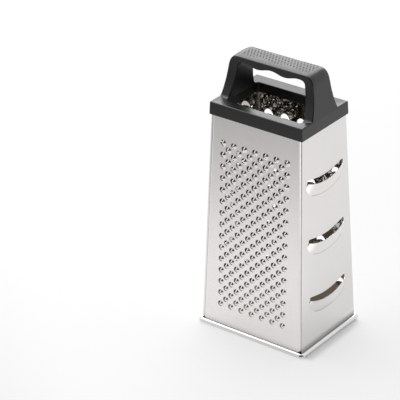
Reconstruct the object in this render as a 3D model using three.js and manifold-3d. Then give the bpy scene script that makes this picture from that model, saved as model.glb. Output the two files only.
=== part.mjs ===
import * as THREE from 'three';
import { mergeVertices } from 'three/addons/utils/BufferGeometryUtils.js';
import Module from 'manifold-3d';

// A four-sided box grater: stamped steel panels round a tapering hollow body, a rolled steel
// ring to stand on, and one plastic moulding on top that carries the handle.
// Millimetres, +Z up, origin on the floor under the middle. The medium shredding side faces -Y,
// the slicing side +X, the coarse side +Y and the fine side -X.

const wasm = await Module();
wasm.setup();

// Steel body, measured over the outside of the sheet
const BASE_WIDTH = 102.3;
const BASE_DEPTH = 79.2;
const TOP_WIDTH = 89.2;
const TOP_DEPTH = 63.5;
const STEEL_HEIGHT = 190;
const SHEET = 0.5;
const CLEARANCE = 0.3;
const CORNER_RADIUS = 3;
const CORNER_STEPS = 3;
const FLANGE = 5;
const EDGE_SETBACK = 0.8;

// Rolled base ring
const RIM_RADIUS = 2.3;
const RIM_SHELF = 2.6;
const RIM_CURL_DEGREES = 195;
const RIM_STEPS = 5;

// Plain steel below the last row of every pattern
const BOTTOM_MARGIN = 20;

// Every tooth and blade has a lip, a hood behind it and a gap before it. Its gap opens upwards, or
// turned to the left by a number of degrees, and its lip leads the point it is set out from.

// Medium teeth on the front, in straight columns and rows that are offset by half a pitch
const MEDIUM = {
  halfWidth: 2.6, hood: 3.8, gap: 2, rise: 1.6, lead: 1.5, turn: 90, bow: 0, squareness: 2,
  hoodSteps: 3, gapSteps: 2,
};
const MEDIUM_PITCH = 10.6;
const MEDIUM_ROW = 5.3;
const MEDIUM_FIRST = 22.7;
const MEDIUM_MARGIN = 5;
const MEDIUM_FAN = 0;

// Coarse teeth on the back, in columns that fan out with the taper of the sheet
const COARSE = {
  halfWidth: 4.6, hood: 4, gap: 5.6, rise: 2.6, lead: 0, turn: 0, bow: 0, squareness: 2,
  hoodSteps: 4, gapSteps: 3,
};
const COARSE_PITCH = 16.6;
const COARSE_ROW = 17.6;
const COARSE_FIRST = 23;
const COARSE_MARGIN = 6;
const COARSE_FAN = 1;

// Fine teeth on the left
const FINE = {
  halfWidth: 1.6, hood: 1.9, gap: 1.5, rise: 1.1, lead: 0, turn: 0, bow: 0, squareness: 2,
  hoodSteps: 2, gapSteps: 2,
};
const FINE_PITCH = 6.1;
const FINE_ROW = 7.75;
const FINE_FIRST = 16.3;
const FINE_MARGIN = 4;
const FINE_FAN = 0;

// Slicing blades on the right: each slot is bowed down and its lower lip is pressed out
const BLADE = {
  hood: 11.5, gap: 3.9, rise: 3, lead: 0, turn: 0, bow: 4.6, squareness: 5, hoodSteps: 14, gapSteps: 12,
};
const BLADE_FIRST = 40.3;
const BLADE_PITCH = 53.5;
const BLADE_SIDE_MARGIN = 6;

// Plastic top: skirt round the steel, ledge, and a lip hanging round the mouth
const SKIRT_HEIGHT = 11;
const SKIRT_WALL = 1.2;
const SKIRT_DRAFT = 0.5;
const SKIRT_CORNER = 1.4;
const EDGE_ROUND = 1;
const PLATE = 3.2;
const LEDGE = 11.2;
const LEDGE_FALL = 0.8;
const MOUTH_RADIUS = 3;
const LIP_DEPTH = 9.5;
const LIP_WALL = 1.5;
const RIB_WALL = 1.2;
const RIB_DEPTH = 5;

// Bridge handle
const HANDLE_RISE = 36;
const HANDLE_LEAN = 4;
const SHOULDER = 9;
const UPRIGHT_THICKNESS = 8.5;
const BAR_THICKNESS = 7.8;
const GROOVE_DEPTH = 2.35;
const GROOVE_PITCH = 26.5;
const BAR_HALF_DEPTH = 11.5;
const FOOT_FLARE = 6.5;
const FLARE_POWER = 2.5;
const FOOT_SINK_SHARE = 0.4;
const INNER_FILLET = 5;
const SECTION_SQUARENESS = 5;
const SECTION_STEPS = 16;
const UPRIGHT_STEPS = 4;
const SHOULDER_STEPS = 4;
const BAR_STEPS = 6;

// Levels. The flanges of a leaning panel dip below its edge, so the panels start a bit higher.
const creaseZ = 2 * RIM_RADIUS;
const panelBottomZ = SHEET + 2 * CLEARANCE;
const skirtBottomZ = creaseZ + STEEL_HEIGHT;
const frameTopZ = skirtBottomZ + SKIRT_HEIGHT;
const ceilingZ = frameTopZ - PLATE;
const panelTopZ = ceilingZ - CLEARANCE;
const tucked = panelTopZ - skirtBottomZ;
const handleTopZ = frameTopZ + HANDLE_RISE;

// Corners closer than this are one corner, and no bend of a loop is tighter than this
const WELD = 1e-4;
const TIGHTEST = 0.2;

const lerp = THREE.MathUtils.lerp;
const taper = (z) => (z - creaseZ) / STEEL_HEIGHT;
const halfWidthAt = (z) => lerp(BASE_WIDTH, TOP_WIDTH, taper(z)) / 2;
const halfDepthAt = (z) => lerp(BASE_DEPTH, TOP_DEPTH, taper(z)) / 2;
const point = (x, y, z) => new THREE.Vector3(x, y, z);

// Two triangles over four corners
function quad(triangles, a, b, c, d) {
  triangles.push([a, b, c], [a, c, d]);
}

// A closed mesh from loose triangles, turned to face outwards
function closedGeometry(triangles) {
  let volume = 0;
  for (const [a, b, c] of triangles) {
    volume += a.dot(b.clone().cross(c));
  }
  const positions = [];
  for (const [a, b, c] of triangles) {
    const corners = volume > 0 ? [a, b, c] : [a, c, b];
    corners.forEach((corner) => positions.push(corner.x, corner.y, corner.z));
  }
  const loose = new THREE.BufferGeometry();
  loose.setAttribute('position', new THREE.Float32BufferAttribute(positions, 3));
  const geometry = mergeVertices(loose, WELD);
  geometry.computeVertexNormals();
  return geometry;
}

// Outlines of one punched tooth or blade. The hood hangs from a curved foot and rises to a sharp
// lip, the gap before the lip goes through the sheet, and both ends of the lip lie in the sheet.
// One swelling, a round or squarish arch, shapes the foot, the lip and the gap alike.
function cutRings(cut) {
  const { shape, x, y } = cut;
  const half = shape.halfWidth;
  const inner = 1 - SHEET / half;
  const cos = Math.cos(THREE.MathUtils.degToRad(shape.turn));
  const sin = Math.sin(THREE.MathUtils.degToRad(shape.turn));
  const at = (u, v, out) => point(x + u * cos - v * sin, y + u * sin + v * cos, out);
  const dip = (u) => shape.lead - shape.bow * (1 - (u / half) ** 2);
  const arch = (u) => (1 - Math.abs(u / half) ** shape.squareness) ** (1 / shape.squareness);
  const rings = { front: [], lip: [], lipInside: [], back: [] };
  for (let i = 0; i <= shape.hoodSteps; i += 1) {
    const angle = Math.PI * i / shape.hoodSteps;
    const u = -half * Math.cos(angle);
    const atEnd = i === 0 || i === shape.hoodSteps;
    const swell = atEnd ? 0 : arch(u);
    rings.front.push(at(u, dip(u) - shape.hood * swell, 0));
    rings.lip.push(at(u, dip(u), shape.rise * swell));
    rings.lipInside.push(at(atEnd ? u : u * inner, dip(u), (shape.rise - SHEET) * swell));
    rings.back.push(at(u * inner, dip(u) - (shape.hood - SHEET) * swell, -SHEET));
  }
  for (let i = 1; i < shape.gapSteps; i += 1) {
    const angle = Math.PI * i / shape.gapSteps;
    const u = half * Math.cos(angle);
    const open = dip(u) + shape.gap * arch(u);
    rings.front.push(at(u, open, 0));
    rings.back.push(at(u * inner, open, -SHEET));
  }
  return rings;
}

// The walls of one cut: outside of the hood, its sharp lip, its inside, and the wall of the gap
function addCutWalls(triangles, rings, hoodSteps) {
  const { front, lip, lipInside, back } = rings;
  for (let i = 0; i < hoodSteps; i += 1) {
    const first = i === 0;
    const last = i === hoodSteps - 1;
    if (first) {
      triangles.push([front[i], front[i + 1], lip[i + 1]]);
      triangles.push([front[i], lip[i + 1], lipInside[i + 1]]);
    } else if (last) {
      triangles.push([front[i], front[i + 1], lip[i]]);
      triangles.push([lip[i], front[i + 1], lipInside[i]]);
    } else {
      quad(triangles, front[i], front[i + 1], lip[i + 1], lip[i]);
      quad(triangles, lip[i], lip[i + 1], lipInside[i + 1], lipInside[i]);
    }
    quad(triangles, lipInside[i], lipInside[i + 1], back[i + 1], back[i]);
  }
  for (let i = hoodSteps; i < front.length; i += 1) {
    const next = (i + 1) % front.length;
    quad(triangles, front[i], front[next], back[next], back[i]);
  }
}

// A flat face with holes, facing along +Z or -Z
function addFace(triangles, contour, holes, facing) {
  const corners = [...contour, ...holes.flat()];
  for (const [i, j, k] of THREE.ShapeUtils.triangulateShape(contour, holes)) {
    const a = corners[i];
    const b = corners[j];
    const c = corners[k];
    const turn = (b.x - a.x) * (c.y - a.y) - (b.y - a.y) * (c.x - a.x);
    triangles.push(turn * facing > 0 ? [a, b, c] : [a, c, b]);
  }
}

// A tapering sheet in its own XY plane, outer face towards +Z. With a flange, both slanted edges
// are bent back round the corner radius and run on straight behind the neighbouring sheets,
// which stand past the bend and stop just short of the corner.
function panelGeometry(halfBottom, halfTop, height, hasFlange, cuts) {
  const triangles = [];
  const section = [{ outer: [0, 0], inner: [0, -SHEET] }];
  if (hasFlange) {
    for (let i = 1; i <= CORNER_STEPS; i += 1) {
      const angle = Math.PI / 2 * i / CORNER_STEPS;
      const bend = (radius) => [radius * Math.sin(angle), radius * Math.cos(angle) - CORNER_RADIUS];
      section.push({ outer: bend(CORNER_RADIUS), inner: bend(CORNER_RADIUS - SHEET) });
    }
    const end = -CORNER_RADIUS - FLANGE;
    section.push({ outer: [CORNER_RADIUS, end], inner: [CORNER_RADIUS - SHEET, end] });
  }
  const place = (side, [across, out], top) => {
    const half = top ? halfTop : halfBottom;
    return point(side * (half + across), top ? height : 0, out);
  };
  const frontContour = [];
  const backContour = [];
  for (const [side, top] of [[-1, false], [1, false], [1, true], [-1, true]]) {
    frontContour.push(place(side, section[0].outer, top));
    backContour.push(place(side, section[0].inner, top));
  }
  const rings = cuts.map(cutRings);
  addFace(triangles, frontContour, rings.map((ring) => ring.front), 1);
  addFace(triangles, backContour, rings.map((ring) => ring.back), -1);
  rings.forEach((ring, i) => addCutWalls(triangles, ring, cuts[i].shape.hoodSteps));
  quad(triangles, backContour[0], backContour[1], frontContour[1], frontContour[0]);
  quad(triangles, backContour[2], backContour[3], frontContour[3], frontContour[2]);
  for (const side of [-1, 1]) {
    const wall = (a, b, c, d) => (side > 0 ? quad(triangles, a, b, c, d) : quad(triangles, d, c, b, a));
    for (let i = 0; i + 1 < section.length; i += 1) {
      const near = section[i];
      const far = section[i + 1];
      const strip = (from, to) => wall(
        place(side, from, false), place(side, to, false), place(side, to, true), place(side, from, true),
      );
      strip(near.outer, far.outer);
      strip(far.inner, near.inner);
      for (const top of [false, true]) {
        const edge = [near.outer, near.inner, far.inner, far.outer].map((at) => place(side, at, top));
        if (top) {
          edge.reverse();
        }
        wall(...edge);
      }
    }
    const { outer, inner } = section[section.length - 1];
    wall(
      place(side, outer, false), place(side, inner, false), place(side, inner, true), place(side, outer, true),
    );
  }
  return closedGeometry(triangles);
}

// Rows of cuts that are offset by half a pitch in turn, as many as fit between the margins.
// Fan 0 keeps the columns straight, and fan 1 spreads them as the sheet widens.
function toothPattern(shape, pitch, row, first, margin, fan, halfBottom, halfTop, height) {
  const cuts = [];
  const startY = height - tucked - first;
  const spanAt = (y) => lerp(halfBottom, halfTop, y / height);
  const reach = halfTop - margin;
  for (let y = startY, index = 0; y >= BOTTOM_MARGIN; y -= row, index += 1) {
    const spread = lerp(1, spanAt(y) / spanAt(startY), fan);
    const shift = index % 2 ? pitch / 2 : 0;
    const steps = Math.floor((reach - shift) / pitch);
    const start = index % 2 ? -steps - 1 : -steps;
    for (let column = start; column <= steps; column += 1) {
      cuts.push({ shape, x: (column * pitch + shift) * spread, y });
    }
  }
  return cuts;
}

// Slots from the top down, as many as fit above the bottom margin
function bladePattern(halfBottom, halfTop, height) {
  const shape = { ...BLADE, halfWidth: halfTop + EDGE_SETBACK - BLADE_SIDE_MARGIN };
  const lowestY = BOTTOM_MARGIN + BLADE.bow + BLADE.hood - BLADE.gap;
  const cuts = [];
  for (let y = height - tucked - BLADE_FIRST; y >= lowestY; y -= BLADE_PITCH) {
    cuts.push({ shape, x: 0, y });
  }
  return cuts;
}

const steel = (shade) => new THREE.MeshStandardMaterial({ color: shade, roughness: 0.3, metalness: 1 });
const grater = new THREE.Group();

// One panel: built flat, leaned in by the body's taper, and turned to its side of the body
function addPanel(name, shade, turn, halfDepth, halfSpan, hasFlange, makeCuts) {
  const run = halfDepth(panelBottomZ) - halfDepth(panelTopZ);
  const rise = panelTopZ - panelBottomZ;
  const height = Math.hypot(run, rise);
  const halfBottom = halfSpan(panelBottomZ);
  const halfTop = halfSpan(panelTopZ);
  const cuts = makeCuts(halfBottom, halfTop, height);
  const geometry = panelGeometry(halfBottom, halfTop, height, hasFlange, cuts);
  const panel = new THREE.Mesh(geometry, steel(shade));
  panel.name = name;
  panel.rotation.x = Math.PI / 2 - Math.atan2(run, rise);
  panel.position.set(0, -halfDepth(panelBottomZ), panelBottomZ);
  const side = new THREE.Group();
  side.rotation.z = turn;
  side.add(panel);
  grater.add(side);
}

const flangedSpan = (z) => halfWidthAt(z) - SHEET - CLEARANCE - CORNER_RADIUS;
const plainSpan = (z) => halfDepthAt(z) - EDGE_SETBACK;
const mediumTeeth = (...sheet) => toothPattern(
  MEDIUM, MEDIUM_PITCH, MEDIUM_ROW, MEDIUM_FIRST, MEDIUM_MARGIN, MEDIUM_FAN, ...sheet,
);
const coarseTeeth = (...sheet) => toothPattern(
  COARSE, COARSE_PITCH, COARSE_ROW, COARSE_FIRST, COARSE_MARGIN, COARSE_FAN, ...sheet,
);
const fineTeeth = (...sheet) => toothPattern(
  FINE, FINE_PITCH, FINE_ROW, FINE_FIRST, FINE_MARGIN, FINE_FAN, ...sheet,
);
addPanel('front_panel', 0xd6d5d3, 0, halfDepthAt, flangedSpan, true, mediumTeeth);
addPanel('right_panel', 0xdbd9d6, Math.PI / 2, halfWidthAt, plainSpan, false, bladePattern);
addPanel('back_panel', 0xd6d5d3, Math.PI, halfDepthAt, flangedSpan, true, coarseTeeth);
addPanel('left_panel', 0xd2d1cf, -Math.PI / 2, halfWidthAt, plainSpan, false, fineTeeth);

// One level loop round a rectangle with rounded corners
function roundedLoop(halfX, halfY, bend, z) {
  const radius = Math.max(bend, TIGHTEST);
  const loop = [];
  for (let corner = 0; corner < 4; corner += 1) {
    const signX = corner === 0 || corner === 3 ? 1 : -1;
    const signY = corner < 2 ? 1 : -1;
    for (let i = 0; i <= CORNER_STEPS; i += 1) {
      const angle = Math.PI / 2 * (corner + i / CORNER_STEPS);
      const x = signX * (halfX - radius) + radius * Math.cos(angle);
      const y = signY * (halfY - radius) + radius * Math.sin(angle);
      loop.push(point(x, y, z));
    }
  }
  return loop;
}

// A ring with a constant section: loops joined one after another, the last back to the first
function ringTriangles(loops) {
  const triangles = [];
  loops.forEach((loop, i) => {
    const next = loops[(i + 1) % loops.length];
    loop.forEach((corner, j) => {
      const after = (j + 1) % loop.length;
      quad(triangles, corner, loop[after], next[after], next[j]);
    });
  });
  return triangles;
}

// Base ring: a shelf under the panels that curls out and up, back to the foot of the sheet
function baseRimGeometry() {
  const axis = CLEARANCE + RIM_RADIUS * Math.sin(THREE.MathUtils.degToRad(RIM_CURL_DEGREES - 180));
  const atOffset = (offset, z) => roundedLoop(
    BASE_WIDTH / 2 + offset, BASE_DEPTH / 2 + offset, EDGE_SETBACK + offset, z,
  );
  const loops = [atOffset(axis - RIM_SHELF, SHEET), atOffset(axis - RIM_SHELF, 0)];
  const curl = (radius, i) => {
    const angle = THREE.MathUtils.degToRad(RIM_CURL_DEGREES * i / RIM_STEPS - 90);
    return atOffset(axis + radius * Math.cos(angle), RIM_RADIUS + radius * Math.sin(angle));
  };
  for (let i = 0; i <= RIM_STEPS; i += 1) {
    loops.push(curl(RIM_RADIUS, i));
  }
  for (let i = RIM_STEPS; i >= 0; i -= 1) {
    loops.push(curl(RIM_RADIUS - SHEET, i));
  }
  return closedGeometry(ringTriangles(loops));
}

const baseRim = new THREE.Mesh(baseRimGeometry(), steel(0xe2e1df));
baseRim.name = 'base_rim';
grater.add(baseRim);

// Skirt, ledge, locating rib and hanging lip of the plastic top, as one ring. The handle's feet
// stand flush with the skirt outside and with the mouth inside.
const skirtHalfX = TOP_WIDTH / 2 + CLEARANCE + SKIRT_WALL;
const skirtHalfY = TOP_DEPTH / 2 + CLEARANCE + SKIRT_WALL;
const footX = skirtHalfX - SKIRT_DRAFT;
const mouthHalfX = footX - UPRIGHT_THICKNESS;
const mouthHalfY = skirtHalfY - LEDGE;

function topFrameTriangles() {
  const skirt = (inset, z) => roundedLoop(skirtHalfX - inset, skirtHalfY - inset, SKIRT_CORNER - inset, z);
  const mouth = (outset, z) => roundedLoop(mouthHalfX + outset, mouthHalfY + outset, MOUTH_RADIUS + outset, z);
  const lipBottomZ = frameTopZ - LIP_DEPTH;
  const ledgeZ = frameTopZ - LEDGE_FALL;
  const halfway = EDGE_ROUND * (1 - Math.SQRT1_2);
  const ribInset = SKIRT_WALL + CLEARANCE + 2 * (SHEET + CLEARANCE) + CLEARANCE;
  const ribRadius = CORNER_RADIUS - SHEET - CLEARANCE;
  const rib = (inset, z) => roundedLoop(
    skirtHalfX - ribInset - inset, skirtHalfY - ribInset - inset, ribRadius - inset, z,
  );
  return ringTriangles([
    skirt(0, skirtBottomZ),
    skirt(SKIRT_DRAFT, frameTopZ - EDGE_ROUND),
    skirt(SKIRT_DRAFT + halfway, frameTopZ - halfway),
    skirt(SKIRT_DRAFT + EDGE_ROUND, frameTopZ),
    mouth(EDGE_ROUND, ledgeZ),
    mouth(halfway, ledgeZ - halfway),
    mouth(0, ledgeZ - EDGE_ROUND),
    mouth(0, lipBottomZ),
    mouth(LIP_WALL, lipBottomZ),
    mouth(LIP_WALL, ceilingZ),
    rib(RIB_WALL, ceilingZ),
    rib(RIB_WALL, ceilingZ - RIB_DEPTH),
    rib(0, ceilingZ - RIB_DEPTH),
    rib(0, ceilingZ),
    skirt(SKIRT_WALL, ceilingZ),
    skirt(SKIRT_WALL, skirtBottomZ),
  ]);
}

// Half of the handle's arch from the foot to the middle: pairs of an outer and an inner point.
// Under the bar the inner line waves, with a ridge between each two finger grooves.
function halfArch() {
  const footZ = frameTopZ - PLATE * FOOT_SINK_SHARE;
  const shoulderX = footX - HANDLE_LEAN;
  const barThickness = (x) => (
    BAR_THICKNESS - GROOVE_DEPTH * (0.5 + 0.5 * Math.cos(2 * Math.PI * x / GROOVE_PITCH))
  );
  const flat = (x, z) => new THREE.Vector2(x, z);
  const outerFoot = flat(footX, footZ);
  const outerShoulder = flat(shoulderX, handleTopZ - SHOULDER);
  const outerCorner = flat(shoulderX - HANDLE_LEAN * SHOULDER / HANDLE_RISE, handleTopZ);
  const outerBar = flat(shoulderX - SHOULDER, handleTopZ);
  const innerShoulderX = shoulderX - UPRIGHT_THICKNESS;
  const innerBarX = innerShoulderX - INNER_FILLET;
  const underZ = handleTopZ - barThickness(innerBarX);
  const innerFoot = flat(footX - UPRIGHT_THICKNESS, footZ);
  const innerShoulder = flat(innerShoulderX, underZ - INNER_FILLET);
  const innerCorner = flat(innerShoulderX, underZ);
  const innerBar = flat(innerBarX, underZ);
  const stations = [];
  for (let i = 0; i < UPRIGHT_STEPS; i += 1) {
    const share = i / UPRIGHT_STEPS;
    stations.push({
      outer: outerFoot.clone().lerp(outerShoulder, share),
      inner: innerFoot.clone().lerp(innerShoulder, share),
    });
  }
  const outerBend = new THREE.QuadraticBezierCurve(outerShoulder, outerCorner, outerBar);
  const innerBend = new THREE.QuadraticBezierCurve(innerShoulder, innerCorner, innerBar);
  const innerPoints = innerBend.getPoints(SHOULDER_STEPS);
  outerBend.getPoints(SHOULDER_STEPS).forEach((outer, i) => stations.push({ outer, inner: innerPoints[i] }));
  for (let i = 1; i <= BAR_STEPS; i += 1) {
    const left = 1 - i / BAR_STEPS;
    const innerX = innerBar.x * left;
    stations.push({
      outer: flat(outerBar.x * left, handleTopZ),
      inner: flat(innerX, handleTopZ - barThickness(innerX)),
    });
  }
  return stations;
}

// The handle: a squarish section carried along the arch, spreading towards both feet
function handleTriangles() {
  const half = halfArch();
  const mirrored = half.slice(0, -1).reverse().map(({ outer, inner }) => ({
    outer: new THREE.Vector2(-outer.x, outer.y),
    inner: new THREE.Vector2(-inner.x, inner.y),
  }));
  const rounded = (value) => Math.sign(value) * Math.abs(value) ** (2 / SECTION_SQUARENESS);
  const sections = [...half, ...mirrored].map(({ outer, inner }) => {
    const climb = THREE.MathUtils.clamp((outer.y - frameTopZ) / HANDLE_RISE, 0, 1);
    const halfDepth = BAR_HALF_DEPTH + FOOT_FLARE * (1 - climb) ** FLARE_POWER;
    const section = [];
    for (let i = 0; i < SECTION_STEPS; i += 1) {
      const angle = 2 * Math.PI * (i + 0.5) / SECTION_STEPS;
      const at = inner.clone().lerp(outer, 0.5 + 0.5 * rounded(Math.sin(angle)));
      section.push(point(at.x, halfDepth * rounded(Math.cos(angle)), at.y));
    }
    return section;
  });
  const triangles = [];
  for (let i = 0; i + 1 < sections.length; i += 1) {
    for (let j = 0; j < SECTION_STEPS; j += 1) {
      const next = (j + 1) % SECTION_STEPS;
      quad(triangles, sections[i][j], sections[i][next], sections[i + 1][next], sections[i + 1][j]);
    }
  }
  const foot = sections[0];
  const farFoot = sections[sections.length - 1];
  for (let j = 1; j + 1 < SECTION_STEPS; j += 1) {
    triangles.push([foot[0], foot[j + 1], foot[j]]);
    triangles.push([farFoot[0], farFoot[j], farFoot[j + 1]]);
  }
  return triangles;
}

// A solid for joining, from a closed mesh, and the joined mesh back again
function solidFrom(geometry) {
  const bare = geometry.clone();
  bare.deleteAttribute('normal');
  const merged = mergeVertices(bare, WELD);
  return new wasm.Manifold(new wasm.Mesh({
    numProp: 3,
    vertProperties: new Float32Array(merged.attributes.position.array),
    triVerts: new Uint32Array(merged.index.array),
  }));
}

function geometryFrom(solid) {
  const mesh = solid.getMesh();
  const geometry = new THREE.BufferGeometry();
  geometry.setAttribute('position', new THREE.BufferAttribute(mesh.vertProperties, mesh.numProp));
  geometry.setIndex(new THREE.BufferAttribute(mesh.triVerts, 1));
  geometry.computeVertexNormals();
  return geometry;
}

const topSolid = solidFrom(closedGeometry(topFrameTriangles())).add(
  solidFrom(closedGeometry(handleTriangles())),
);
const blackPlastic = new THREE.MeshStandardMaterial({ color: 0x1d1d1f, roughness: 0.45, metalness: 0 });
const topHandle = new THREE.Mesh(geometryFrom(topSolid), blackPlastic);
topHandle.name = 'top_handle';
grater.add(topHandle);

export default grater;
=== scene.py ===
import bmesh
import bpy
import numpy as np
from mathutils import Matrix


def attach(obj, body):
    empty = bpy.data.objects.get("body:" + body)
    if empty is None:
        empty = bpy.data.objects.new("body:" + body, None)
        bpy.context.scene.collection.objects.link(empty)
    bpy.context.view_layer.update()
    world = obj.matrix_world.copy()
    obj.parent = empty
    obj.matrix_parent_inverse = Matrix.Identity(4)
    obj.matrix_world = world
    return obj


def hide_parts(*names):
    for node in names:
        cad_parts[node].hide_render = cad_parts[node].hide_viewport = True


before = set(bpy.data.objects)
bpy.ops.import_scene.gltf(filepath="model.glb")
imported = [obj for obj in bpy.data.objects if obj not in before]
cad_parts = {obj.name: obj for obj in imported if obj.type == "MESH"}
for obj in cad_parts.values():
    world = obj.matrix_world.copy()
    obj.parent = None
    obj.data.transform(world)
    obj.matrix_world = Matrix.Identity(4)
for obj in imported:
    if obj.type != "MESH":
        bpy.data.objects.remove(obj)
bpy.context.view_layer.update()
scene = bpy.context.scene
scene.view_settings.view_transform = "Standard"


# Front sheet: thin stainless steel with medium shredding teeth, punched through and pressed out
# from behind. Its slanted edges are bent back round the corners of the body into flanges that
# are spot-welded behind the side sheets.
crease_z, crease_half_width, crease_half_depth = 4.6, 51.15, 39.6
skirt_z, neck_half_width, neck_half_depth = 194.6, 44.6, 31.75
sheet_foot_z, sheet_top_z, sheet_thick = 1.1, 202.1, 0.5
tucked = sheet_top_z - skirt_z
bend_radius, flange_width, side_clear = 3.0, 5.0, 0.3


def body_half_width(z):
    """Half the body's width at height z, a straight taper in mm."""
    share = (z - crease_z) / (skirt_z - crease_z)
    return crease_half_width - (crease_half_width - neck_half_width) * share


def body_half_depth(z):
    """Half the body's depth at height z, a straight taper in mm."""
    share = (z - crease_z) / (skirt_z - crease_z)
    return crease_half_depth - (crease_half_depth - neck_half_depth) * share


def flanged_half(z):
    """Half the flat width of a front or back sheet, up to the start of its bend."""
    return body_half_width(z) - sheet_thick - side_clear - bend_radius


def slope_length(half_across):
    """Length of a sheet along its slope, from its foot to its top."""
    run = half_across(sheet_foot_z) - half_across(sheet_top_z)
    return np.hypot(run, sheet_top_z - sheet_foot_z)


def punched_rings(half, hood, gap, rise, profile, around, square=(2, 2, 2), narrow=1.0,
                  gap_share=1.0, tip=0.0, bow=0.0, lead=0.0, turned=0.0):
    """Eight rings round one pressed tooth, as (ring, step, (u, v, h)) in mm from where it is set out.

    Across, u is half times cos a. An arch, (1 - |u / half|^s)^(1/s), is 1 in the middle and 0 at
    the two ends; gap, lip and foot have an s each. Where sin a is positive the rings go down the
    wall of the gap at v = gap * arch. Elsewhere they leave the sheet at the foot, v = -hood * arch,
    climb by the profile's shares of hood and rise to the lip, and come back inside the hood. On the
    way the hood narrows and its lip runs out to a tip; the gap has its own share of half. A bow
    lowers it all by bow * (1 - cos a^2), the lip leads, and the tooth is turned in the sheet, by
    degrees from a gap that opens upwards.
    """
    a = 2 * np.pi * np.arange(around) / around
    across = np.round(np.cos(a), 9)
    gap_arch, lip_arch, foot_arch = [(1 - np.abs(across) ** s) ** (1 / s) for s in square]
    hooded = np.sin(a) < -1e-9
    back_share, up_share = np.array(profile).T[:, :, None]
    margin = 0.35
    thick = sheet_thick / half
    hood_u = np.concatenate([
        [[1 + margin / half]], narrow + (1 - narrow) * back_share,
        [[narrow * (1 - thick)]], [[1 - thick]],
    ])
    first = (np.arange(8) == 0)[:, None]
    wall_u = gap_share + margin / half * first
    foot_v = -hood * foot_arch
    reach = (1 - back_share) * tip * lip_arch
    hood_v = np.concatenate([
        foot_v[None] - margin * foot_arch, back_share * foot_v + reach, tip * lip_arch[None],
        foot_v[None] + sheet_thick * foot_arch,
    ])
    hood_h = np.concatenate([
        0 * lip_arch[None], up_share * rise * lip_arch,
        (rise - sheet_thick) * lip_arch[None], 0 * lip_arch[None] - sheet_thick,
    ])
    gap_v = (gap + margin * first) * gap_arch
    wall_h = -sheet_thick * np.array([0, 0, 0.15, 0.3, 0.45, 0.6, 0.8, 1])[:, None]
    u = half * across * np.where(hooded, hood_u, wall_u)
    v = lead + np.where(hooded, hood_v, gap_v) - bow * (1 - across ** 2)
    h = np.where(hooded, hood_h + wall_h * (1 - lip_arch), wall_h + 0 * across)
    cos, sin = np.cos(np.radians(turned)), np.sin(np.radians(turned))
    rings = np.stack([u * cos - v * sin, u * sin + v * cos, h], axis=-1)
    return np.roll(rings, int(round(turned / 360 * around)), axis=1)


def cell_part(rings, centres, borders, crease_shade_steps=None):
    """Cells of sheet, each from its border on the outside, over one tooth, to its border inside.

    centres is (cell, 2) and borders (cell, step, 2). Of the nine bands the last is the inside of
    the sheet, with the second finish, and the one before it the inside of the hood, with the third.
    So has the foot of the hood at the steps that are given: a dark line of painted shade in the
    crease.
    """
    count, around = borders.shape[:2]
    flat = np.zeros((count, 1, around, 3))
    flat[:, 0, :, :2] = borders
    teeth = rings[None] + np.pad(centres, ((0, 0), (0, 1)))[:, None, None, :]
    points = np.concatenate([flat, teeth, flat - (0, 0, sheet_thick)], axis=1)
    cell, ring, step = np.meshgrid(np.arange(count), np.arange(9), np.arange(around), indexing="ij")
    following = (step + 1) % around
    here = (cell * 10 + ring) * around
    beyond = here + around
    quads = np.stack([here + step, here + following, beyond + following, beyond + step], -1)
    finish = np.array([0, 0, 0, 0, 0, 0, 0, 2, 1])[ring]
    if crease_shade_steps is not None:
        finish = np.where((ring == 1) & crease_shade_steps[step], 2, finish)
    return points.reshape(-1, 3), quads.reshape(-1, 4), finish.ravel()


def strip_part(first, second, inside):
    """A ruled strip between two lines of the same number of points."""
    count = len(first)
    i = np.arange(count - 1)
    quads = np.stack([i, i + 1, i + 1 + count, i + count], -1)
    return np.concatenate([first, second]), quads, np.full(len(quads), inside)


def raised(u, v, h):
    """Points of the sheet from across, along and out, any of them one number."""
    return np.stack(np.broadcast_arrays(u, v, h), axis=-1).astype(float)


def both_faces(first_u, first_v, second_u, second_v):
    """The same flat strip on the outer and the inner face of the sheet."""
    return [
        strip_part(raised(first_u, first_v, out), raised(second_u, second_v, out), out < 0)
        for out in (0, -sheet_thick)
    ]


def cut_edge(u, v):
    """The cut edge of the sheet along a line, from its outer to its inner face."""
    return strip_part(raised(u, v, 0), raised(u, v, -sheet_thick), False)


def half_along(half_across, tall, v):
    """Half the width of a sheet at v up its slope, a straight taper over its whole length."""
    foot, top = half_across(sheet_foot_z), half_across(sheet_top_z)
    return foot + (top - foot) * v / tall


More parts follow.
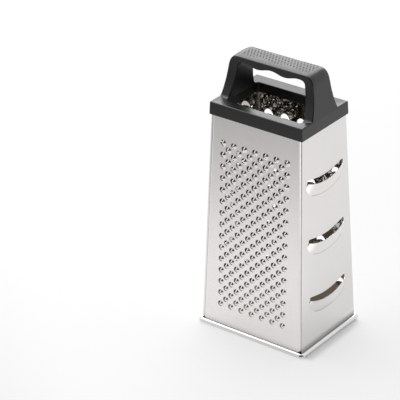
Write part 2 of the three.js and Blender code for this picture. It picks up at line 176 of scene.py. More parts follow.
def lattice_parts(rings, pitch, row, rows, teeth, drop, half_across, tall, fan=0):
    """Staggered rows of diamond cells, and the plain margins out to the edges of the sheet.

    Even rows hold teeth cells and odd rows one less, half a pitch over. A diamond has its corners
    half a pitch across and one row up and down. The first row lies a drop below the skirt. The fan
    spreads columns with the sheet's width.
    """
    first_v = tall - tucked - drop

    def half_at(v):
        return half_along(half_across, tall, v)

    def spread(v):
        return 1 + fan * (half_at(v) / half_at(first_v) - 1)

    around = rings.shape[1]
    side = around // 4
    index, column = np.meshgrid(np.arange(rows), np.arange(teeth), indexing="ij")
    odd = index % 2
    kept = column < teeth - odd
    lattice_u = (column - (teeth - 1 - odd) / 2) * pitch
    lattice = np.stack([lattice_u, first_v - index * row], -1)[kept]
    turn = np.arange(around) / side
    corner_u = np.interp(turn, [0, 1, 2, 3, 4], [0.5, 0, -0.5, 0, 0.5]) * pitch
    corner_v = np.interp(turn, [0, 1, 2, 3, 4], [0, 1, 0, -1, 0]) * row
    borders = lattice[:, None] + np.stack([corner_u, corner_v], -1)
    borders[..., 0] *= spread(borders[..., 1])
    centres = lattice * np.stack([spread(lattice[:, 1]), np.ones(len(lattice))], -1)
    parts = [cell_part(rings, centres, borders)]

    last_v = first_v - (rows - 1) * row
    flank_v = np.linspace(last_v, first_v, (rows - 1) * side + 1)
    swing = np.abs(1 - (np.arange(len(flank_v)) / side) % 2)
    zigzag = ((teeth - 1) / 2 + swing / 2) * pitch * spread(flank_v)
    for hand in (-1, 1):
        parts += both_faces(hand * zigzag, flank_v, hand * half_at(flank_v), flank_v)

    steps = np.arange(2 * side * teeth + 1)
    row_u = (steps / (2 * side) - teeth / 2) * pitch
    tooth_rise = 1 - np.abs(1 - (steps / side) % 2)
    for near_v, edge_v, way in ((first_v, tall, 1), (last_v, 0.0, -1)):
        near = near_v + way * row * tooth_rise
        near_u = row_u * spread(near)
        inner_u = np.concatenate([[-half_at(near_v)], near_u, [half_at(near_v)]])
        inner_v = np.concatenate([[near_v], near, [near_v]])
        edge_u = np.concatenate([[-half_at(edge_v)], near_u, [half_at(edge_v)]])
        parts += both_faces(inner_u, inner_v, edge_u, np.full(len(edge_u), edge_v))
        parts.append(cut_edge(edge_u, edge_v))
    flank_v = np.concatenate([[0.0], flank_v, [tall]])
    return parts, flank_v, half_at(flank_v)


def bent_edge_parts(flank_v, flank_half):
    """A quarter bend and a straight flange along both slanted edges, closed at their ends.

    The profile is an arc of the bend radius outside and of the radius less the sheet inside.
    """
    turn = np.linspace(0, np.pi / 2, 9)
    outer = np.stack([bend_radius * np.sin(turn), bend_radius * (np.cos(turn) - 1)], -1)
    tight = bend_radius - sheet_thick
    inner = np.stack([tight * np.sin(turn), tight * np.cos(turn) - bend_radius], -1)
    end = -bend_radius - flange_width
    outer = np.concatenate([outer, [(bend_radius, end)]])
    inner = np.concatenate([inner, [(tight, end)]])
    parts = []
    for hand in (-1, 1):
        outside = raised(hand * (flank_half + outer[:, :1]), flank_v, outer[:, 1:])
        inside = raised(hand * (flank_half + inner[:, :1]), flank_v, inner[:, 1:])
        parts += [strip_part(a, b, False) for a, b in zip(outside[:-1], outside[1:])]
        parts += [strip_part(a, b, True) for a, b in zip(inside[:-1], inside[1:])]
        parts.append(strip_part(outside[-1], inside[-1], False))
        parts += [strip_part(outside[:, cut], inside[:, cut], False) for cut in (0, -1)]
    return parts


def upright(parts, half_across, turn):
    """Lean a flat sheet in by the body's taper and turn it to its side of the body.

    v runs up the slope, h out of it, and half_across gives the body's half size towards it.
    """
    run = half_across(sheet_foot_z) - half_across(sheet_top_z)
    lean = np.arctan2(run, sheet_top_z - sheet_foot_z)
    stood = []
    for points, quads, inside in parts:
        u, v, h = points.T
        y = -half_across(sheet_foot_z) + v * np.sin(lean) - h * np.cos(lean)
        z = sheet_foot_z + v * np.cos(lean) + h * np.sin(lean)
        x, y = u * np.cos(turn) - y * np.sin(turn), u * np.sin(turn) + y * np.cos(turn)
        stood.append((np.stack([x, y, z], -1), quads, inside))
    return stood


def made_piece(name, parts, finishes, sharp_degrees):
    """One mesh object from parts in mm: points that meet are joined and faces turned outwards.

    Points meet that round to the same step of 1/2000 mm. Edges are sharp past the angle, and
    wherever faces of two finishes meet.
    """
    offsets = np.cumsum([0] + [len(points) for points, _, _ in parts[:-1]])
    points = np.concatenate([points for points, _, _ in parts])
    quads = np.concatenate([quads + offset for (_, quads, _), offset in zip(parts, offsets)])
    finish = np.concatenate([np.asarray(inside, dtype=np.int32) for _, _, inside in parts])
    rounded = np.round(points * 2000).astype(np.int64)
    _, kept, joined = np.unique(rounded, axis=0, return_index=True, return_inverse=True)
    triangles = np.concatenate([quads[:, [0, 1, 2]], quads[:, [0, 2, 3]]])
    triangles = joined.ravel()[triangles]
    finish = np.concatenate([finish, finish])
    whole = (triangles != np.roll(triangles, 1, axis=1)).all(axis=1)
    mesh = bpy.data.meshes.new(name)
    mesh.from_pydata((points[kept] / 1000).tolist(), [], triangles[whole].tolist())
    mesh.polygons.foreach_set("material_index", finish[whole])
    work = bmesh.new()
    work.from_mesh(mesh)
    bmesh.ops.recalc_face_normals(work, faces=work.faces)
    work.to_mesh(mesh)
    work.free()
    mesh.polygons.foreach_set("use_smooth", np.ones(len(mesh.polygons), dtype=bool))
    mesh.set_sharp_from_angle(angle=np.radians(sharp_degrees))
    edge_of_loop = np.empty(len(mesh.loops), dtype=np.int32)
    mesh.loops.foreach_get("edge_index", edge_of_loop)
    finish_of_face = np.empty(len(mesh.polygons), dtype=np.int32)
    mesh.polygons.foreach_get("material_index", finish_of_face)
    finish_of_loop = np.repeat(finish_of_face, 3)
    least, most = np.full(len(mesh.edges), 9), np.full(len(mesh.edges), -1)
    np.minimum.at(least, edge_of_loop, finish_of_loop)
    np.maximum.at(most, edge_of_loop, finish_of_loop)
    sharp = np.empty(len(mesh.edges), dtype=bool)
    mesh.edges.foreach_get("use_edge_sharp", sharp)
    mesh.edges.foreach_set("use_edge_sharp", sharp | (least != most))
    for material in finishes:
        mesh.materials.append(material)
    piece = bpy.data.objects.new(name, mesh)
    scene.collection.objects.link(piece)
    even = piece.modifiers.new("even_normals", "WEIGHTED_NORMAL")
    even.keep_sharp = True
    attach(piece, "root")
    return piece


def calculated(tree, operation, first, second=None):
    """What a new maths node gives for one or two numbers or sockets."""
    node = tree.nodes.new("ShaderNodeMath")
    node.operation = operation
    for socket, value in zip(node.inputs, (first, second)):
        if isinstance(value, (int, float)):
            socket.default_value = value
        elif value is not None:
            tree.links.new(value, socket)
    return node.outputs[0]


def eased(tree, value, start, stop, first=0.0, last=1.0):
    """What a new node gives that eases from first to last while value goes from start to stop."""
    node = tree.nodes.new("ShaderNodeMapRange")
    node.interpolation_type = "SMOOTHSTEP"
    for socket, amount in zip(list(node.inputs)[1:5], (start, stop, first, last)):
        socket.default_value = amount
    tree.links.new(value, node.inputs[0])
    return node.outputs[0]


def steel_finish(name, tint, roughness, grain, grain_scale, painted_foot_shade=1.0, painted_crease_shade=1.0,
                 scratches=0.05):
    """Stainless steel: fine rolling grain up the sheet, and a faint cloudiness of tone and gloss.

    Painted shade: the tone darkens to the foot factor times itself from 0.12 m above the floor
    down to it, and again to the crease factor in the last few mm above the crease at the base.
    """
    foot_shade_top, crease_shade_low, crease_shade_top = 0.12, 0.0045, 0.0100
    material = bpy.data.materials.new(name)
    material.use_nodes = True
    tree = material.node_tree
    nodes, links = tree.nodes, tree.links
    shader = nodes["Principled BSDF"]
    shader.inputs["Metallic"].default_value = 1.0
    place = nodes.new("ShaderNodeTexCoord")
    stretch = nodes.new("ShaderNodeMapping")
    stretch.inputs["Scale"].default_value = grain_scale
    links.new(place.outputs["Object"], stretch.inputs["Vector"])
    lines = nodes.new("ShaderNodeTexNoise")
    lines.inputs["Scale"].default_value = 1.0
    lines.inputs["Detail"].default_value = 3.0
    links.new(stretch.outputs["Vector"], lines.inputs["Vector"])
    cloud = nodes.new("ShaderNodeTexNoise")
    cloud.inputs["Scale"].default_value = 38.0
    cloud.inputs["Detail"].default_value = 2.0
    links.new(place.outputs["Object"], cloud.inputs["Vector"])
    tone = nodes.new("ShaderNodeMix")
    tone.data_type = "RGBA"
    tone.inputs["A"].default_value = (*[0.975 * channel for channel in tint], 1)
    tone.inputs["B"].default_value = (*[1.025 * channel for channel in tint], 1)
    links.new(cloud.outputs["Fac"], tone.inputs["Factor"])
    height = nodes.new("ShaderNodeSeparateXYZ")
    links.new(place.outputs["Object"], height.inputs["Vector"])
    # Painted shade towards the floor and in the crease just above the bead.
    at_foot = eased(tree, height.outputs["Z"], 0.0, foot_shade_top, painted_foot_shade, 1.0)
    at_crease = eased(
        tree, height.outputs["Z"], crease_shade_low, crease_shade_top, painted_crease_shade, 1.0,
    )
    shaded = nodes.new("ShaderNodeVectorMath")
    shaded.operation = "SCALE"
    links.new(tone.outputs["Result"], shaded.inputs[0])
    links.new(calculated(tree, "MULTIPLY", at_foot, at_crease), shaded.inputs["Scale"])
    links.new(shaded.outputs["Vector"], shader.inputs["Base Color"])
    gloss = nodes.new("ShaderNodeMapRange")
    gloss.inputs["From Min"].default_value = 0.3
    gloss.inputs["From Max"].default_value = 0.7
    gloss.inputs["To Min"].default_value = roughness - grain
    gloss.inputs["To Max"].default_value = roughness + grain
    links.new(lines.outputs["Fac"], gloss.inputs["Value"])
    links.new(gloss.outputs["Result"], shader.inputs["Roughness"])
    scratch = nodes.new("ShaderNodeBump")
    scratch.inputs["Strength"].default_value = scratches
    scratch.inputs["Distance"].default_value = 0.00002
    links.new(lines.outputs["Fac"], scratch.inputs["Height"])
    links.new(scratch.outputs["Normal"], shader.inputs["Normal"])
    return material


rolled_grain, inside_grain, punched_grain = (1500, 1500, 40), (900, 900, 40), (900, 900, 900)
# Painted shade darkens this steel a little in the last few mm above the bead.
satin_steel = steel_finish(
    "satin_steel", (0.83, 0.805, 0.797), 0.25, 0.02, rolled_grain, painted_crease_shade=0.85,
)
polished_steel = steel_finish(
    "polished_steel", (0.50, 0.48, 0.45), 0.04, 0.01, inside_grain, scratches=0.0,
)
punched_steel_and_crease_shade = steel_finish("punched_steel_and_crease_shade", (0.30, 0.29, 0.28), 0.45, 0.05, punched_grain)
sheet_finishes = [satin_steel, polished_steel, punched_steel_and_crease_shade]

front_tall = slope_length(body_half_depth)
domed = [(1, 0.04), (0.85, 0.34), (0.6, 0.74), (0.4, 0.93), (0, 1)]
medium_teeth = punched_rings(
    half=2.7, hood=2.85, gap=2.8, rise=1.4, profile=domed, around=16, narrow=0.5, tip=0.4,
    lead=0.35, turned=94,
)
front_parts, flank_v, flank_half = lattice_parts(
    medium_teeth, pitch=10.6, row=5.3, rows=29, teeth=7, drop=22.7, half_across=flanged_half,
    tall=front_tall,
)
front_parts += bent_edge_parts(flank_v, flank_half)
front_sheet = made_piece(
    "front_sheet", upright(front_parts, body_half_depth, 0), sheet_finishes, 48,
)
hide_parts("front_panel")


# Slicing sheet on the right: flat stainless steel with three wide slots. Below each slot the
# steel is pressed out in a ramp that ends in a sharp bowed lip, the blade.
blade_half, blade_hood, blade_gap, blade_rise = 25.4, 11.5, 3.9, 3.0
blade_bow, blade_shoulder, crease_shade_half = 4.6, 2.0, 20
first_lip, lip_spacing = 40.3, 53.5
side_tall = slope_length(body_half_width)


def plain_half(z):
    """Half the width of a side sheet, which stops just short of the body's corners."""
    return body_half_depth(z) - sheet_thick - side_clear


def blade_parts(half_across, tall):
    """Three cells of sheet, one above the other, with a slicing blade in each.

    A cell's border runs round a rectangle that ends on the slanted edges of the sheet. A step in
    each quarter goes first up the side to the corner and then along to the middle.
    """
    steps = 64
    straight = [(1, 0.03), (0.93, 0.19), (0.6, 0.50), (0.3, 0.76), (0, 1)]
    slot_share = blade_half / (blade_half + blade_shoulder)
    rings = punched_rings(
        blade_half + blade_shoulder, blade_hood, blade_gap, blade_rise, straight, steps,
        square=(6, 2.6, 3), narrow=slot_share, gap_share=slot_share, bow=blade_bow,
    )
    lip_v = (tall - tucked - first_lip - lip_spacing * np.arange(3))[:, None]
    split = (lip_v[:-1] + lip_v[1:]) / 2 - blade_hood / 2
    high = np.concatenate([[[tall]], split])
    low = np.concatenate([split, [[0.0]]])
    turn = 4 * np.arange(steps) / steps
    across = np.interp(turn, [0, 0.5, 1.5, 2.5, 3.5, 4], [1, 1, -1, -1, 1, 1])
    climb = np.interp(turn, [0, 0.5, 1.5, 2, 2.5, 3.5, 4], [0, 1, 1, 0, -1, -1, 0])
    border_v = lip_v + np.where(climb > 0, high - lip_v, lip_v - low) * climb
    borders = np.stack([across * half_along(half_across, tall, border_v), border_v], -1)
    centres = np.concatenate([0 * lip_v, lip_v], axis=1)
    # The dark third finish along the middle of each hood's foot is painted shade in the crease.
    crease_shade_steps = (np.abs(rings[0, :, 0]) < crease_shade_half) & (rings[5, :, 2] > 0.5)
    parts = [cell_part(rings, centres, borders, crease_shade_steps)]
    nearly_one = 0.999999
    flank_v = np.unique(np.round(border_v[:, np.abs(across) > nearly_one], 6))
    for cell, on_edge in ((0, climb > nearly_one), (2, climb < -nearly_one)):
        edge = borders[cell][on_edge]
        parts.append(cut_edge(*edge[np.argsort(edge[:, 0])].T))
    return parts, flank_v, half_along(half_across, tall, flank_v)


def plain_edge_parts(flank_v, flank_half, hem=0.0):
    """The cut edges along both slanted sides of a flat sheet, with a hem that deep turned in."""
    parts = []
    for hand in (-1, 1):
        outside = raised(hand * flank_half, flank_v, 0)
        inside = raised(hand * flank_half, flank_v, -sheet_thick)
        turned_in = raised(hand * flank_half, flank_v, -sheet_thick - hem)
        set_back = raised(hand * (flank_half - hem), flank_v, -sheet_thick)
        parts.append(strip_part(outside, turned_in, False))
        if hem:
            parts += [strip_part(turned_in, set_back, True), strip_part(set_back, inside, True)]
    return parts


slicing_parts, flank_v, flank_half = blade_parts(plain_half, side_tall)
slicing_parts += plain_edge_parts(flank_v, flank_half)
# Painted shade darkens this steel towards the floor, and strongly just above the bead.
slicing_steel = steel_finish(
    "slicing_steel", (0.80, 0.78, 0.77), 0.25, 0.02, rolled_grain, painted_foot_shade=0.91, painted_crease_shade=0.45,
)
slicing_sheet = made_piece(
    "slicing_sheet", upright(slicing_parts, body_half_width, np.pi / 2),
    [slicing_steel, polished_steel, punched_steel_and_crease_shade], 30,
)
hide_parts("right_panel")


# Back sheet: the same stainless steel with big round teeth for coarse shreds, bent round the
# corners like the front. Its columns fan out as the sheet widens.
coarse_teeth = punched_rings(half=4.6, hood=4.0, gap=5.6, rise=2.6, profile=domed, around=20)
back_parts, flank_v, flank_half = lattice_parts(
    coarse_teeth, pitch=16.6, row=17.6, rows=9, teeth=5, drop=23, half_across=flanged_half,
    tall=front_tall, fan=1,
)
back_parts += bent_edge_parts(flank_v, flank_half)
back_sheet = made_piece(
    "back_sheet", upright(back_parts, body_half_depth, np.pi), sheet_finishes, 48,
)
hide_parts("back_panel")


# Fine sheet on the left: flat stainless steel with rows of small teeth, pressed out from behind.
# Its slanted edges are turned in by a narrow hem against the flanges.
fine_teeth = punched_rings(half=1.6, hood=1.9, gap=1.5, rise=1.1, profile=domed, around=8)
fine_parts, flank_v, flank_half = lattice_parts(
    fine_teeth, pitch=6.1, row=7.75, rows=21, teeth=9, drop=16.3, half_across=plain_half,
    tall=side_tall,
)
fine_parts += plain_edge_parts(flank_v, flank_half, hem=1.1)
fine_sheet = made_piece(
    "fine_sheet", upright(fine_parts, body_half_width, -np.pi / 2), sheet_finishes, 48,
)
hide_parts("left_panel")


# Base ring: a strip of stainless steel rolled into a bead round the foot of the four sheets,
# with a narrow shelf turned in under them. The grater stands on it.
bead_radius, bead_shelf, bead_corner = 2.25, 2.6, 0.8
bead_axis = side_clear + bead_radius * np.sin(np.radians(15))


def rounded_loops(half_x, half_y, bend, z, corner_steps):
    """Level loops round rectangles with rounded corners, as (loop, step, (x, y, z)).

    Each corner is a quarter circle of the bend about a point that far inside both sides.
    """
    sizes = np.broadcast_arrays(half_x, half_y, bend, z)
    half_x, half_y, bend, z = [np.asarray(size, dtype=float)[:, None] for size in sizes]
    corner, share = np.meshgrid(np.arange(4), np.linspace(0, 1, corner_steps), indexing="ij")
    angle = (np.pi / 2 * (corner + share)).ravel()
    sign_x = np.sign(np.cos(np.pi / 4 + np.pi / 2 * corner)).ravel()
    sign_y = np.sign(np.sin(np.pi / 4 + np.pi / 2 * corner)).ravel()
    least_bend = 0.15
    bend = np.maximum(bend, least_bend)
    x = sign_x * (half_x - bend) + bend * np.cos(angle)
    y = sign_y * (half_y - bend) + bend * np.sin(angle)
    return np.stack([x, y, z + 0 * x], axis=-1)


def ring_part(loops):
    """A closed ring: each loop joined to the next, and the last to the first."""
    count, steps = loops.shape[:2]
    loop, step = np.meshgrid(np.arange(count), np.arange(steps), indexing="ij")
    following = (step + 1) % steps
    here, beyond = loop * steps, (loop + 1) % count * steps
    quads = np.stack([here + step, here + following, beyond + following, beyond + step], -1)
    quads = quads.reshape(-1, 4)
    return loops.reshape(-1, 3), quads, np.zeros(len(quads), dtype=np.int32)


curl = np.radians(np.linspace(-90, 109, 27))
curl_back = curl[::-1]
tight_radius = bead_radius - sheet_thick
bead_offset = np.concatenate([
    [bead_axis - bead_shelf] * 2,
    bead_axis + bead_radius * np.cos(curl), bead_axis + tight_radius * np.cos(curl_back),
])
bead_z = np.concatenate([
    [sheet_thick, 0],
    bead_radius + bead_radius * np.sin(curl), bead_radius + tight_radius * np.sin(curl_back),
])
bead_loops = rounded_loops(
    crease_half_width + bead_offset, crease_half_depth + bead_offset, bead_corner + bead_offset,
    bead_z, 9,
)
bead_steel = steel_finish("bead_steel", (0.72, 0.715, 0.71), 0.16, 0.03, (60, 60, 900))
base_ring = made_piece("base_ring", [ring_part(bead_loops)], [bead_steel], 50)
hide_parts("base_rim")


# Top: one moulding in black plastic. A skirt closes over the upper edges of the steel, a ledge
# runs in to the mouth with its hanging lip, and the bridge handle grows out of both ends.
frame_top_z, skirt_wall, skirt_draft, skirt_corner = 205.6, 1.2, 0.5, 1.4
skirt_proud, edge_round, top_corner_steps = 1.5, 1.0, 7
skirt_half_x, skirt_half_y = neck_half_width + skirt_proud, neck_half_depth + skirt_proud
foot_x = skirt_half_x - skirt_draft
handle_top_z, upright_thick, ledge, ledge_fall = 241.57, 8.5, 11.2, 0.8
bar_thick, finger_groove, finger_pitch = 7.8, 2.35, 26.5
mouth_half_x, mouth_half_y, mouth_radius = foot_x - upright_thick, skirt_half_y - ledge, 3.0
ceiling_z, lip_bottom_z = frame_top_z - 3.2, frame_top_z - 9.5
rib_wall, rib_tall, rib_corner = 1.2, 5, 2.2

soft = np.linspace(0, np.pi / 2, 6)
soft_in, soft_up = edge_round * (1 - np.cos(soft)), edge_round * np.sin(soft)
skirt_inset = np.concatenate([[0.15, 0], skirt_draft + soft_in])
skirt_level = np.concatenate([[skirt_z, skirt_z + 0.25], frame_top_z - edge_round + soft_up])
outer_loops = rounded_loops(
    skirt_half_x - skirt_inset, skirt_half_y - skirt_inset, skirt_corner - skirt_inset,
    skirt_level, top_corner_steps,
)
mouth_out = np.concatenate([edge_round * (1 - np.sin(soft)), [0, 0.2, 1.3, 1.5, 1.5]])
mouth_level = np.concatenate([
    frame_top_z - ledge_fall - soft_in,
    [lip_bottom_z + 0.2, lip_bottom_z, lip_bottom_z, lip_bottom_z + 0.2, ceiling_z],
])
mouth_loops = rounded_loops(
    mouth_half_x + mouth_out, mouth_half_y + mouth_out, mouth_radius + mouth_out,
    mouth_level, top_corner_steps,
)
rib_inset = skirt_wall + side_clear + 2 * (sheet_thick + side_clear) + side_clear
rib_in = np.array([rib_wall, rib_wall, 0, 0])
rib_loops = rounded_loops(
    skirt_half_x - rib_inset - rib_in, skirt_half_y - rib_inset - rib_in, rib_corner - rib_in,
    ceiling_z - np.array([0, rib_tall, rib_tall, 0]), top_corner_steps,
)
inner_loops = rounded_loops(
    skirt_half_x - skirt_wall, skirt_half_y - skirt_wall, 0.2,
    np.array([ceiling_z, skirt_z]), top_corner_steps,
)
frame_part = ring_part(np.concatenate([outer_loops, mouth_loops, rib_loops, inner_loops]))


def half_bridge():
    """Pairs of outer and inner points of the handle, from a foot up to the middle of the bar.

    Straight uprights lean in, two quadratic curves turn them into the bar, and under the bar the
    inner line waves: bar thickness less groove * (1 + cos(2 pi x / pitch)) / 2.
    """
    def under(x):
        wave = 0.5 + 0.5 * np.cos(2 * np.pi * x / finger_pitch)
        return handle_top_z - bar_thick + finger_groove * wave

    def bent(start, corner, end):
        share = np.linspace(0, 1, 17)[:, None]
        return (1 - share) ** 2 * start + 2 * share * (1 - share) * corner + share ** 2 * end

    lean_in, outer_turn, inner_turn, foot_sink = 4, 9, 5, 1.28
    outer_foot = np.array([foot_x, frame_top_z - foot_sink])
    shoulder = np.array([foot_x - lean_in, handle_top_z - outer_turn])
    outer_corner = shoulder + (-1, outer_turn)
    outer_bar = shoulder + (-outer_turn, outer_turn)
    inner_foot = outer_foot - (upright_thick, 0)
    bar_end = shoulder[0] - upright_thick - inner_turn
    inner_bar = np.array([bar_end, under(bar_end)])
    inner_shoulder = inner_bar + (inner_turn, -inner_turn)
    inner_corner = inner_bar + (inner_turn, 0)
    climb = np.concatenate([np.linspace(0, 0.16, 12), np.linspace(0.18, 0.97, 22)])[:, None]
    left = np.linspace(1, 0, 37)[1:]
    outer = np.concatenate([
        outer_foot + climb * (shoulder - outer_foot),
        bent(shoulder, outer_corner, outer_bar),
        np.stack([outer_bar[0] * left, np.full(len(left), handle_top_z)], -1),
    ])
    inner = np.concatenate([
        inner_foot + climb * (inner_shoulder - inner_foot),
        bent(inner_shoulder, inner_corner, inner_bar),
        np.stack([inner_bar[0] * left, under(inner_bar[0] * left)], -1),
    ])
    return outer, inner


def bridge_part():
    """The handle: a rectangle with rounded edges carried along the bridge.

    It reaches from the inner to the outer line. Its half depth spreads towards the feet as bar half
    + spread * (1 - climb)^2.5, with a small cove at the ledge. Over the bar the top is crowned: the
    section gets thinner by crown * |y / d|^4.
    """
    bar_half, foot_spread, cove_radius, bar_crown, edge = 11.5, 6.5, 2.2, 0.9, 0.8
    bridge_tall, bar_from = 36, 0.66
    outer, inner = half_bridge()
    mirrored = np.array([-1, 1])
    outer = np.concatenate([outer, outer[-2::-1] * mirrored])[:, None]
    inner = np.concatenate([inner, inner[-2::-1] * mirrored])[:, None]
    above = outer[..., 1] - frame_top_z
    climb = np.clip(above / bridge_tall, 0, 1)
    cove = np.clip(cove_radius - (above + 0.5), 0, cove_radius)
    depth = bar_half + foot_spread * (1 - climb) ** 2.5
    depth = depth + cove_radius - np.sqrt(cove_radius ** 2 - cove ** 2)
    on_bar = np.clip((climb - bar_from) / (1 - bar_from), 0, 1)
    crown = bar_crown * on_bar ** 2 * (3 - 2 * on_bar)
    thick = np.linalg.norm(outer - inner, axis=-1)
    quarter = np.linspace(0, np.pi / 2, 6)
    cos, sin = np.cos(quarter), np.sin(quarter)
    over = np.linspace(1, -1, 15)[1:-1]
    under = over[3:-3:2]
    side = np.concatenate([np.ones(6), over, -np.ones(12), -under, np.ones(6)])
    level = np.concatenate([np.ones(12 + len(over)), np.zeros(12 + len(under))])
    bend_y = np.concatenate([cos, 0 * over, -sin, -cos, 0 * under, sin])
    bend_t = np.concatenate([sin, 1 + 0 * over, cos, -sin, 0 * under - 1, -cos])
    y = side * (depth - edge) + edge * bend_y
    share = (level * (thick - 2 * edge) + edge + edge * bend_t) / thick
    share = share * (1 - crown * np.abs(y / depth) ** 4 / thick)
    at = inner + share[..., None] * (outer - inner)
    points = np.stack([at[..., 0], y, at[..., 1]], -1)
    count, around = y.shape
    station, step = np.meshgrid(np.arange(count - 1), np.arange(around), indexing="ij")
    following = (step + 1) % around
    here, beyond = station * around, (station + 1) * around
    quads = np.stack([here + step, here + following, beyond + following, beyond + step], -1)
    fan = np.arange(1, around - 1)
    end = np.stack([0 * fan, fan, fan + 1, fan + 1], -1)
    quads = np.concatenate([quads.reshape(-1, 4), end, end + (count - 1) * around])
    return points.reshape(-1, 3), quads, np.zeros(len(quads), dtype=np.int32)


def plastic_finish():
    """Black satin plastic with a fine moulded grain, and a field of small grip dots on the bar.

    The dots lie on a net and on the middles of its cells. Their field ends in wavy lines.
    """
    pitch_x, pitch_y, dot_stretch, dot_inner, dot_outer = 0.0030, 0.0056, 0.65, 0.00045, 0.0008
    field_middle, field_half_y, field_half_x, field_wave = 0.0018, 0.0070, 0.0325, 0.0009
    material = bpy.data.materials.new("black_plastic")
    material.use_nodes = True
    tree = material.node_tree
    nodes, links = tree.nodes, tree.links
    shader = nodes["Principled BSDF"]
    shader.inputs["IOR"].default_value = 2.0
    shader.inputs["Specular Tint"].default_value = (0.42, 0.42, 0.43, 1)
    place = nodes.new("ShaderNodeTexCoord")
    parts = nodes.new("ShaderNodeSeparateXYZ")
    links.new(place.outputs["Object"], parts.inputs["Vector"])
    x, y, z = parts.outputs

    def maths(operation, first, second=None):
        return calculated(tree, operation, first, second)

    def off_net(value, pitch, shift):
        cell = maths("FRACT", maths("ADD", maths("DIVIDE", value, pitch), shift))
        return maths("MULTIPLY", maths("SUBTRACT", cell, 0.5), pitch)

    def from_dot(shift):
        across = off_net(x, pitch_x, shift)
        along = maths("MULTIPLY", off_net(y, pitch_y, shift), dot_stretch)
        return maths("SQRT", maths("ADD", maths("POWER", across, 2.0), maths("POWER", along, 2.0)))

    nearest = maths("MINIMUM", from_dot(0.0), from_dot(0.5))
    dot = eased(tree, nearest, dot_inner, dot_outer, 1.0, 0.0)
    turns = maths("MULTIPLY", x, 2 * np.pi / (finger_pitch / 1000))
    wave = maths("MULTIPLY", maths("COSINE", turns), field_wave)
    off_middle = maths("ABSOLUTE", maths("SUBTRACT", y, field_middle))
    reach = maths("SUBTRACT", off_middle, wave)
    inside_y = eased(tree, reach, field_half_y, field_half_y + 0.0006, 1.0, 0.0)
    inside_x = eased(tree, maths("ABSOLUTE", x), field_half_x, field_half_x + 0.001, 1.0, 0.0)
    on_top = maths("GREATER_THAN", z, (handle_top_z - 2.6) / 1000)
    field = maths("MULTIPLY", inside_y, maths("MULTIPLY", inside_x, on_top))
    grip = maths("MULTIPLY", dot, field)
    grain = nodes.new("ShaderNodeTexNoise")
    grain.inputs["Scale"].default_value = 2600.0
    grain.inputs["Detail"].default_value = 2.0
    links.new(place.outputs["Object"], grain.inputs["Vector"])
    cloud = nodes.new("ShaderNodeTexNoise")
    cloud.inputs["Scale"].default_value = 60.0
    links.new(place.outputs["Object"], cloud.inputs["Vector"])
    tone = nodes.new("ShaderNodeMix")
    tone.data_type = "RGBA"
    tone.inputs["A"].default_value = (0.003, 0.003, 0.0031, 1)
    tone.inputs["B"].default_value = (0.005, 0.005, 0.0052, 1)
    links.new(cloud.outputs["Fac"], tone.inputs["Factor"])
    links.new(tone.outputs["Result"], shader.inputs["Base Color"])
    links.new(eased(tree, cloud.outputs["Fac"], 0.3, 0.7, 0.31, 0.37), shader.inputs["Roughness"])
    links.new(eased(tree, grip, 0.0, 1.0, 0.5, 0.02), shader.inputs["Specular IOR Level"])
    dots = nodes.new("ShaderNodeBump")
    dots.inputs["Strength"].default_value = 0.6
    dots.inputs["Distance"].default_value = 0.0002
    links.new(grip, dots.inputs["Height"])
    fine = nodes.new("ShaderNodeBump")
    fine.inputs["Strength"].default_value = 0.08
    fine.inputs["Distance"].default_value = 0.00004
    links.new(grain.outputs["Fac"], fine.inputs["Height"])
    links.new(dots.outputs["Normal"], fine.inputs["Normal"])
    links.new(fine.outputs["Normal"], shader.inputs["Normal"])
    return material


black_plastic = plastic_finish()
moulded_top = made_piece("moulded_top", [frame_part, bridge_part()], [black_plastic], 40)
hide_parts("top_handle")


# Floor: a sheet of pale studio paper that keeps the lamps' soft shadow at the foot of the grater,
# deepened by painted shade in its glow. To the camera and in the steel it is white, with painted
# shade greyer far in front and a painted pool of light off to the right. Under the body painted
# shade dims it and a painted warm light tints it.
floor_half = 4
under_half_x, under_half_y, under_edge = 0.0505, 0.039, 0.001
right_foot_x, contact_width = 0.0535, 0.012
painted_under_shade, painted_contact_shade = 0.28, 0.35
floor_mesh = bpy.data.meshes.new("paper_floor")
floor_corners = floor_half * np.array([(-1, -1, 0), (1, -1, 0), (1, 1, 0), (-1, 1, 0)])
floor_mesh.from_pydata(floor_corners.tolist(), [], [(0, 1, 2, 3)])
paper_floor = bpy.data.objects.new("paper_floor", floor_mesh)
scene.collection.objects.link(paper_floor)


def measured_along(tree, vector, direction):
    """What a new node gives for how far a vector reaches in a direction."""
    node = tree.nodes.new("ShaderNodeVectorMath")
    node.operation = "DOT_PRODUCT"
    node.inputs[1].default_value = direction
    tree.links.new(vector, node.inputs[0])
    return node.outputs["Value"]


paper = bpy.data.materials.new("studio_paper")
paper.use_nodes = True
tree = paper.node_tree
nodes, links = tree.nodes, tree.links
nodes.remove(nodes["Principled BSDF"])
place = nodes.new("ShaderNodeTexCoord").outputs["Object"]
parts_of_place = nodes.new("ShaderNodeSeparateXYZ")
links.new(place, parts_of_place.inputs["Vector"])
x, y, _ = parts_of_place.outputs
towards_front = measured_along(tree, place, (-0.55, -0.83, 0))
sideways = measured_along(tree, place, (0.816, 0.578, 0))
nearer = measured_along(tree, place, (0.578, -0.816, 0))
# Painted light and shade in the glow: it fades far in front, lifts a little nearer the front, and a
# pool of light is painted off to the right.
painted_far_shade = eased(tree, towards_front, 0.16, 0.63, 0.625, 0.08)
painted_near_light = eased(tree, towards_front, -0.12, 0.06, 0.0, 0.05)
painted_light_pool = calculated(
    tree, "MULTIPLY", eased(tree, sideways, 0.105, 0.15), eased(tree, nearer, 0.01, 0.05, 0.0, 0.50),
)
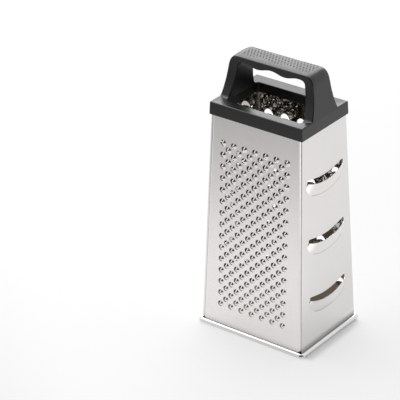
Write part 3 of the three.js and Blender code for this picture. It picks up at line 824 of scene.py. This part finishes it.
# Painted shade: the glow is cut under the body and near the right foot, while the diffuse share
# rising at the foot keeps the lamps' real shadow.
over_x = calculated(tree, "SUBTRACT", calculated(tree, "ABSOLUTE", x), under_half_x)
over_y = calculated(tree, "SUBTRACT", calculated(tree, "ABSOLUTE", y), under_half_y)
outside = eased(tree, calculated(tree, "MAXIMUM", over_x, over_y), 0.0, under_edge)
from_foot = calculated(tree, "ABSOLUTE", calculated(tree, "SUBTRACT", x, right_foot_x))
off_foot = calculated(
    tree, "MAXIMUM", eased(tree, from_foot, 0.0, contact_width), eased(tree, over_y, -0.004, 0.003),
)
strength = calculated(tree, "ADD", calculated(tree, "ADD", painted_far_shade, painted_near_light), painted_light_pool)
for zone, share in ((outside, painted_under_shade), (off_foot, painted_contact_shade)):
    strength = calculated(tree, "MULTIPLY", strength, eased(tree, zone, 0.0, 1.0, share, 1.0))
# Painted warm light: under the body the glow turns warm.
colour = nodes.new("ShaderNodeMix")
colour.data_type = "RGBA"
colour.inputs["A"].default_value = (1, 0.83, 0.62, 1)
colour.inputs["B"].default_value = (1, 1, 1, 1)
links.new(outside, colour.inputs["Factor"])
glow = nodes.new("ShaderNodeEmission")
links.new(strength, glow.inputs["Strength"])
links.new(colour.outputs["Result"], glow.inputs["Color"])
seen_paper = nodes.new("ShaderNodeBsdfDiffuse")
links.new(eased(tree, off_foot, 0.0, 1.0, 0.6, 0.24), seen_paper.inputs["Color"])
seen = nodes.new("ShaderNodeAddShader")
links.new(glow.outputs[0], seen.inputs[0])
links.new(seen_paper.outputs[0], seen.inputs[1])
plain_paper = nodes.new("ShaderNodeBsdfDiffuse")
plain_paper.inputs["Color"].default_value = (0.8, 0.8, 0.8, 1)
ray = nodes.new("ShaderNodeLightPath").outputs
any_seen = calculated(tree, "MAXIMUM", ray["Is Camera Ray"], ray["Is Glossy Ray"])
any_seen = calculated(tree, "MAXIMUM", any_seen, ray["Is Transmission Ray"])
choice = nodes.new("ShaderNodeMixShader")
links.new(any_seen, choice.inputs[0])
links.new(plain_paper.outputs[0], choice.inputs[1])
links.new(seen.outputs[0], choice.inputs[2])
links.new(choice.outputs[0], nodes["Material Output"].inputs["Surface"])
floor_mesh.materials.append(paper)


# Light: an even pale room that is dark behind the camera, as the teeth show. One large soft box
# hangs behind the grater to the left and one higher up at its left, and both light the handle.
room = bpy.data.worlds.new("pale_room")
scene.world = room
room.use_nodes = True
room_tree = room.node_tree
look = room_tree.nodes.new("ShaderNodeTexCoord").outputs["Generated"]
behind_camera = measured_along(room_tree, look, (0.57, -0.80, 0.18))
wall = room_tree.nodes["Background"]
wall.inputs["Color"].default_value = (1, 1, 1, 1)
room_tree.links.new(eased(room_tree, behind_camera, 0.3, 0.65, 1.0, 0.03), wall.inputs["Strength"])
for name, energy, width, height, location in (
    ("softbox", 13.0, 1.1, 1.5, (-0.56, 0.78, 0.95)),
    ("top_light", 6.0, 0.9, 0.9, (-0.75, -0.05, 1.35)),
):
    lamp_data = bpy.data.lights.new(name, "AREA")
    lamp_data.shape = "RECTANGLE"
    lamp_data.size, lamp_data.size_y = width, height
    lamp_data.energy = energy
    lamp = bpy.data.objects.new(name, lamp_data)
    scene.collection.objects.link(lamp)
    lamp.location = location
    lamp.rotation_euler = (-lamp.location).to_track_quat("-Z", "Y").to_euler()


# Camera: a long lens at the photograph's viewing angle, to the right of the front sheet and above
# it, turned a touch off upright.
camera_turn, camera_tilt, camera_roll = np.radians([37.5867, 62.1873, -0.9854])
camera_data = bpy.data.cameras.new("camera")
camera_data.lens = 195.549
camera_data.sensor_width = 36
camera_data.clip_end = 100
camera = bpy.data.objects.new("camera", camera_data)
scene.collection.objects.link(camera)
camera.location = (0.917892, -1.299156, 0.950278 + crease_z / 1000)
aim = Matrix.Rotation(camera_turn, 3, "Z") @ Matrix.Rotation(camera_tilt, 3, "X")
camera.rotation_euler = (aim @ Matrix.Rotation(camera_roll, 3, "Z")).to_euler()
scene.camera = camera
